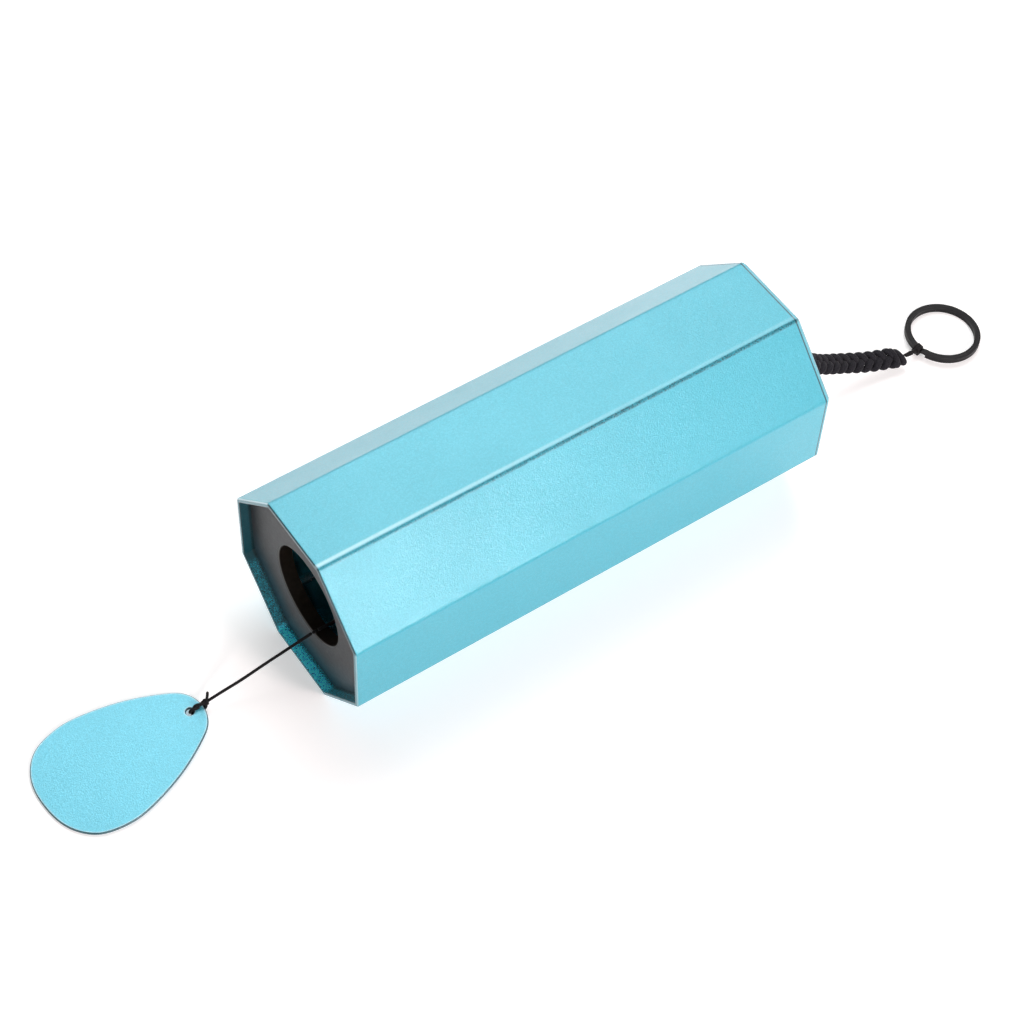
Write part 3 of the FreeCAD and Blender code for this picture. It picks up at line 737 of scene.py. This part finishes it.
def make_neck(material):
    """The bundle of cords between the cap's hole and the plait, in three pieces; gives back the last."""
    spacing = 0.15
    strands, bundle_radius, strand_radius, core_radius, twist = 5, 0.86, 0.56, 0.6, 0.5
    stem = [mm(78.3, 0, 31), mm(80, 0, 31), mm(81.4, 0, 31)]
    bend = [LANYARD_SWING_PIVOT - mm(1.2, 0, 0), LANYARD_SWING_PIVOT + mm(0.6, 0, -0.05),
            LANYARD_LIFT_PIVOT - mm(1.2, 0, -0.1)]
    neck = [LANYARD_LIFT_PIVOT - mm(0.9, 0, -0.4), LANYARD_LIFT_PIVOT + mm(1.1, -0.1, -0.8),
            BRAID[0] + mm(0.9, -0.1, -0.65)]
    for name, points, body, replaced in (
            ("lanyard_stem_strands", stem, "chime", "lanyard_stem"),
            ("lanyard_bend_strands", bend, "lanyard_turn", "lanyard_bend"),
            ("lanyard_neck_strands", neck, "lanyard", "lanyard_neck")):
        line = smooth_line(points, spacing)
        normal, other = carried_frame(line)
        tubes = Tubes()
        for strand in range(strands):
            angle = 2 * math.pi * strand / strands + np.linspace(0, twist, len(line))
            path = line + bundle_radius * (normal * np.cos(angle)[:, None] + other * np.sin(angle)[:, None])
            tubes.add(path, rounded_ends(path, strand_radius, spacing), 10)
        tubes.add(line, rounded_ends(line, core_radius, spacing), 8)
        piece = tubes.build(name, material, body, [replaced])
    return piece


def make_root_knot(material):
    """Stopper knot behind the top cap: wrapped turns with one strand crossing over them."""
    turns, coil_inset, crossing_inset = 3.4, 1.1, 0.9
    low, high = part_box("lanyard_knot")
    start, end = low.x / MM, high.x / MM
    tubes = Tubes()
    t = np.linspace(0, 1, 220)
    angle = t * 2 * math.pi * turns
    radius = 2.75 + 0.25 * np.sin(t * math.pi)
    coil = np.stack([start + coil_inset + t * (end - start - 2 * coil_inset), radius * np.cos(angle),
                     CENTRE_HEIGHT + radius * np.sin(angle)], axis=1)
    tubes.add(coil, 0.98, 10)
    x = np.linspace(start + 0.5, end - 0.1, 24)
    core = np.stack([x, np.zeros(len(x)), np.full(len(x), CENTRE_HEIGHT)], axis=1)
    tubes.add(core, 2.0)
    t = np.linspace(0, 1, 40)
    angle = 2.2 * t - 0.6
    crossing = np.stack([start + crossing_inset + t * (end - start - 2 * crossing_inset), 3.1 * np.sin(angle),
                         CENTRE_HEIGHT + 3.1 * np.cos(angle)], axis=1)
    tubes.add(crossing, 0.85, 10)
    tubes.build("lanyard_knot_turns", material, "chime", ["lanyard_knot"])


def make_ring_cord(material):
    """Two thin strands out of the last knot."""
    line = smooth_line([RING_SWING_PIVOT - mm(0.6, 0.02, -0.1), RING_SWING_PIVOT + mm(1.0, 0.03, -0.28),
                        RING_TILT_PIVOT], FINE_SPACING)
    _, side, _ = level_frame(line)
    tubes = Tubes()
    gap = np.linspace(0.25, 0.42, len(line))[:, None]
    for hand in (-1, 1):
        path = line + side * gap * hand
        tubes.add(path, rounded_ends(path, THIN_STRAND_RADIUS, FINE_SPACING), 10)
    return tubes.build("ring_cord_strands", material, "ring_link", ["ring_cord"])


def ring_place(radius, angle, height):
    """A point of the tilted split ring's own frame, angle in degrees, as a point of the model in mm."""
    raised = math.radians(RING_RAISED_ANGLE)
    tilt = math.asin(RING_LIFT / (2 * RING_RADIUS))
    turn = Matrix.Rotation(-tilt, 3, Vector((-math.sin(raised), math.cos(raised), 0)))
    angle = math.radians(angle)
    point = turn @ Vector((radius * math.cos(angle), radius * math.sin(angle), height))
    return np.array(RING_CENTRE / MM + point)


def make_hitch(material):
    """The two strands part, go round the ring's wire and lock under the loop that they came through."""
    tubes = Tubes()
    # The ring's wire, both coils together, and how far outside it the strand's middle runs.
    inner, outer = RING_RADIUS - 1.8, RING_RADIUS
    bottom, top = -0.15, 1.35
    clearance, squareness = 0.36, 0.55
    for offset, strand_radius in ((-7.0, 0.43), (-3.2, 0.47), (0.6, 0.43)):
        points = []
        for share in np.arange(0, 1, 1 / 40):
            u, v = math.cos(2 * math.pi * share), math.sin(2 * math.pi * share)
            out = math.copysign(abs(u) ** squareness, u) * ((outer - inner) / 2 + clearance)
            up = math.copysign(abs(v) ** squareness, v) * ((top - bottom) / 2 + clearance)
            points.append(ring_place((inner + outer) / 2 + out, HITCH_ANGLE + offset + u,
                                     (bottom + top) / 2 + up))
        tubes.add(np.array(points), strand_radius, 10, closed=True)
    start = np.array(RING_TILT_PIVOT / MM)
    for offset, height in ((-7.4, 0.5), (1.0, 0.75), (-3.2, 1.2)):
        end = ring_place(outer + 0.35, HITCH_ANGLE + offset, height)
        bow = (start + end) / 2 + np.array([0, 0, 0.12])
        path = smooth_line([Vector(start) * MM, Vector(bow) * MM, Vector(end) * MM], FINE_SPACING)
        tubes.add(path, THIN_STRAND_RADIUS, 10)
    return tubes.build("ring_hitch_loop", material, "ring", ["ring_hitch"])


def make_sail_line(material):
    """The cord from the mouth's edge down to the sail's knot, and its short bend over that edge."""
    spacing = 0.2
    away = (MOUTH_LIFT_PIVOT - SAIL_KNOT).normalized()
    end = SAIL_KNOT + away * 0.3 * MM
    run = end - MOUTH_LIFT_PIVOT
    sideways = run.cross(Vector((0, 0, 1))).normalized()
    # Slight waves: the share of the way down, and mm to the side and up.
    waves = ((0.22, 0.00, -0.10), (0.45, 0.10, -0.30), (0.68, -0.12, -0.30), (0.86, 0.05, -0.15))
    points = [MOUTH_LIFT_PIVOT + run * share + sideways * across * MM + mm(0, 0, up)
              for share, across, up in waves]
    line = smooth_line([MOUTH_LIFT_PIVOT, *points, end], spacing)
    tubes = Tubes()
    tubes.add(line, rounded_ends(line, CORD_RADIUS, spacing))
    piece = tubes.build("sail_cord_line", material, "sail_line", ["sail_cord"])
    bend = Tubes()
    short = smooth_line([MOUTH_SWING_PIVOT + mm(0.2, 0, 0), MOUTH_SWING_PIVOT - mm(0.7, 0, 0),
                         MOUTH_LIFT_PIVOT + mm(0.1, 0, 0)], FINE_SPACING)
    bend.add(short, rounded_ends(short, CORD_RADIUS, FINE_SPACING))
    bend.build("sail_cord_mouth", material, "cord_bend", ["sail_cord_bend"])
    return piece, line


def make_sail_knot(material):
    """A pulled overhand knot with its cut tail."""
    knot = np.array(SAIL_KNOT / MM)
    away = np.array(MOUTH_LIFT_PIVOT - SAIL_KNOT)
    tubes = Tubes()
    tubes.add(turned(knot_line(1.5), away, knot, 0.4), 0.40, closed=True)
    tip = np.array(KNOT_TAIL_TIP / MM)
    middle = (knot + tip) / 2 + np.array([0.25, -0.1, 0.1])
    tail = smooth_line([Vector(point) * MM for point in (knot, middle, tip)], FINE_SPACING)
    tubes.add(tail, rounded_ends(tail, THIN_STRAND_RADIUS, FINE_SPACING))
    return tubes.build("sail_knot_tied", material, "knot", ["sail_knot"])


def sail_frame():
    """The sail's own frame: its origin at the hole, -X towards its tip, sloping as it lies."""
    slope = math.asin(SAIL_TIP_RISE / SAIL_LENGTH)
    lift = (SAIL_LENGTH - SAIL_TIP_TO_HOLE) * math.sin(slope)
    turn = Matrix.Rotation(math.radians(SAIL_HEADING), 4, "Z") @ Matrix.Rotation(slope, 4, "Y")
    return Matrix.Translation(SAIL_HOLE + mm(0, 0, lift)) @ turn


def make_sail_loop(material):
    """Two strands from the knot, down through the sail's hole and back round its tip."""
    spacing, half_gap, twist = 0.1, 0.42, 1.5 * math.pi
    place = sail_frame()
    knot = place.inverted() @ SAIL_KNOT
    place = place @ Matrix.Rotation(math.atan2(-knot.y, -knot.x), 4, "Z")
    knot = (place.inverted() @ SAIL_KNOT) / MM
    over = smooth_line([place @ mm(x, 0, z) for x, z in (
        (knot.x + 0.5, knot.z + 0.25), (-2.6, 1.85), (-1.0, 1.45), (-0.45, 1.0), (-0.4, 0.2))], spacing)
    under = smooth_line([place @ mm(x, 0, z) for x, z in (
        (-0.4, 0.3), (-0.45, -0.42), (-2.4, -0.47), (-4.3, -0.46), (-4.85, 0.1),
        (knot.x + 0.1, knot.z - 0.6))], spacing)
    tubes = Tubes()
    normal, other = carried_frame(over)
    for strand in (0, math.pi):
        turn = np.clip(np.linspace(-0.1, 1.15, len(over)), 0, 1) * twist + strand
        path = over + half_gap * (normal * np.cos(turn)[:, None] + other * np.sin(turn)[:, None])
        tubes.add(path, THIN_STRAND_RADIUS)
    _, side, _ = level_frame(under)
    for hand in (-half_gap, half_gap):
        tubes.add(under + side * hand, 0.40, 10)
    return tubes.build("sail_loop_strands", material, "sail", ["sail_loop"])


def make_striker_cords(material):
    """The striker's hanging cord, its two knots, and the slack cord from it to the mouth."""
    direction = np.array((STRIKER_CORD_END - STRIKER_PIVOT).normalized())
    pivot = np.array(STRIKER_PIVOT / MM)
    end = np.array(STRIKER_CORD_END / MM)
    line = resample(np.array([pivot, end]), 0.4)
    tubes = Tubes()
    tubes.add(line, CORD_RADIUS, 10)
    tubes.build("striker_cord_line", material, "striker", ["striker_cord"])
    for name, node_name, roll in (("striker_knot_upper", "striker_upper_knot", 0.3),
                                  ("striker_knot_lower", "striker_lower_knot", 1.4)):
        low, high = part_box(node_name)
        centre = np.array((low + high) / 2 / MM)
        knot = Tubes()
        knot.add(turned(knot_line(2.3), direction, centre, roll), 0.44, closed=True)
        knot.build(name, material, "striker", [node_name])
    drop = smooth_line(DROP_CORD, 0.3)
    tubes = Tubes()
    tubes.add(drop, CORD_RADIUS, 10)
    piece = tubes.build("striker_drop_line", material, None, ["striker_drop_cord"])
    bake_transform(piece)
    return piece, drop


def make_cords():
    thin = braided_cord("CordBlack", (0.003, 0.003, 0.003), (0.012, 0.011, 0.012), 1.6)
    thick = braided_cord("LanyardBlack", (0.004, 0.004, 0.006), (0.015, 0.015, 0.021), 1.1)
    plait, plait_line = make_plait(thick)
    neck = make_neck(thick)
    make_root_knot(thick)
    ring_cord = make_ring_cord(thin)
    hitch = make_hitch(thin)
    sail_line, sail_path = make_sail_line(thin)
    knot = make_sail_knot(thin)
    loop = make_sail_loop(thin)
    drop, drop_path = make_striker_cords(thin)


# ---------------------------------------------------------------- stage

# Each light's name, place, aim, width and height in metres, watts and colour. Every face of the tube that the
# camera sees reflects one.
LIGHTS = [
    ("TopSoftbox", (0.32, 0.53, 0.94), (0, 0, 0.03), (0.8, 0.8), 9.1, (1.0, 0.985, 0.98)),
    ("MouthKey", (0.07, -0.60, 0.39), (-0.08, 0, 0.04), (0.10, 0.10), 2.6, (1.0, 0.80, 0.78)),
    ("FarFill", (0.50, -0.70, 0.45), (0.05, 0, 0.04), (0.4, 0.4), 1.5, (1, 1, 1)),
    ("BackFill", (0.1, 1.1, 0.5), (0, 0, 0.03), (1.0, 0.5), 1.5, (1, 1, 1)),
    ("FrontFill", (-0.2, -1.0, 0.5), (0, 0, 0.03), (0.7, 0.5), 2.3, (1, 1, 1)),
]
SKY_LIGHT = 0.2
HORIZON_LIGHT = 0.8
FLOOR_GLOW = 0.40
FAR_FLOOR_GLOW = 0.75
FLOOR_REACH = 15


def make_floor():
    """A pale floor that glows a little, more so far out, so that it reads as white."""
    mesh = bpy.data.meshes.new("Floor")
    r = FLOOR_REACH
    mesh.from_pydata([(-r, -r, 0), (r, -r, 0), (r, r, 0), (-r, r, 0)], [], [(0, 1, 2, 3)])
    floor = link("Floor", mesh)
    material, tree, shader = new_material("FloorPale")
    soft = node(tree, "ShaderNodeTexNoise", {"Scale": 3.0, "Detail": 2.0}).outputs["Fac"]
    place = coordinates(tree, "Object")
    distance = node(tree, "ShaderNodeVectorMath", {0: place}, operation="LENGTH").outputs["Value"]
    feed(tree, shader, {
        "Base Color": ramp(tree, soft, [(0.3, (0.80, 0.80, 0.80)), (0.7, (0.83, 0.83, 0.83))]),
        "Roughness": 0.9, "Specular IOR Level": 0.1, "Emission Color": (1, 1, 1, 1),
        "Emission Strength": spread(tree, distance, 0.4, 1.3, FLOOR_GLOW, FAR_FLOOR_GLOW)})
    mesh.materials.append(material)


def make_light():
    """The studio lights, and a world that is brighter near the horizon than above."""
    for name, place, aim, (width, height), watts, colour in LIGHTS:
        data = bpy.data.lights.new(name, "AREA")
        data.shape = "RECTANGLE"
        data.size = width
        data.size_y = height
        data.energy = watts
        data.color = colour
        lamp = link(name, data)
        lamp.location = place
        lamp.rotation_euler = (Vector(aim) - Vector(place)).to_track_quat("-Z", "Y").to_euler()
    world = bpy.data.worlds.new("World")
    world.use_nodes = True
    tree = world.node_tree
    _, _, rise = split(tree, coordinates(tree, "Generated"))
    strength = spread(tree, rise, 0.02, 0.25, HORIZON_LIGHT, SKY_LIGHT)
    feed(tree, tree.nodes["Background"], {"Color": (1, 1, 1, 1), "Strength": strength})
    bpy.context.scene.world = world
    bpy.context.scene.view_settings.view_transform = "Standard"


make_camera()
make_cords()
paint(anodised("ShellAnodised", SHELL_BLUE, 0.0006, shell_marks), "shell")
paint(anodised("SailAnodised", SAIL_BLUE, 0.0004, sail_marks), "sail")
paint(painted_plate(), "base_plate")
paint(black_cap(), "top_cap")
paint(drawn_metal("RodSteel", (0.80, 0.81, 0.82), (0.62, 0.63, 0.65), 0.22, 6.0),
      *[f"tone_rod_{number}" for number in range(1, 9)])
paint(drawn_metal("Solder", (0.66, 0.66, 0.66), (0.42, 0.42, 0.43), 0.38, 1.5), "solder_fillets")
paint(clear_acrylic(), "striker_disc")
paint(black_ring_metal(), "split_ring")
make_floor()
make_light()
